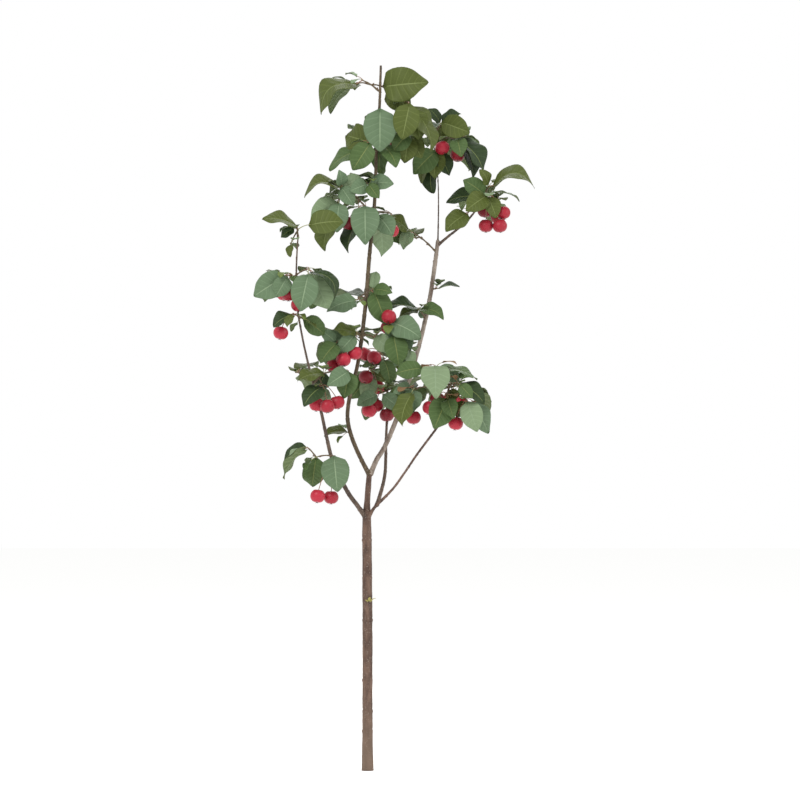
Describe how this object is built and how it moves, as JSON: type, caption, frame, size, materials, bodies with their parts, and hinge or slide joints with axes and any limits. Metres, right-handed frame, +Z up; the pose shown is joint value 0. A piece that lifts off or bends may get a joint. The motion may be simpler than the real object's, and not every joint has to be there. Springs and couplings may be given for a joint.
{
  "type": "crabapple tree",
  "caption": "Young crabapple tree with a slim clean trunk and an open, forked crown of broad green leaves and hanging round red fruit.",
  "frame": {"origin": "middle of the flat cut under the trunk, at ground level", "axes": "+Z up along the trunk, -Y towards the viewer of the pictured front, +X to that viewer's right"},
  "size_m": [0.5594, 0.448, 1.41],
  "materials": {
    "bark": "thin smooth young bark, satin to matt",
    "foliage": "satin leaves with glossy red fruit"
  },
  "bodies": {
    "root": {"trunk": "bark", "left_bough": "bark", "leader": "bark", "right_bough": "bark", "right_shoot": "bark", "right_side_bough": "bark", "right_low_bough": "bark", "inner_bough": "bark", "low_left": "foliage", "stem_leaf": "foliage", "left_low": "foliage", "left_fruit": "foliage", "left_mid": "foliage", "left_tip": "foliage", "mid_left": "foliage", "leader_mid": "foliage", "mid_right": "foliage", "right_mid": "foliage", "right_leaf": "foliage", "mid_centre": "foliage", "low_right": "foliage", "leader_collar": "foliage", "leader_low_ring": "foliage", "leader_upper": "foliage", "leader_tip": "foliage", "leader_side": "foliage", "right_top": "foliage", "right_inner": "foliage", "right_side": "foliage"}
  },
  "joints": []
}
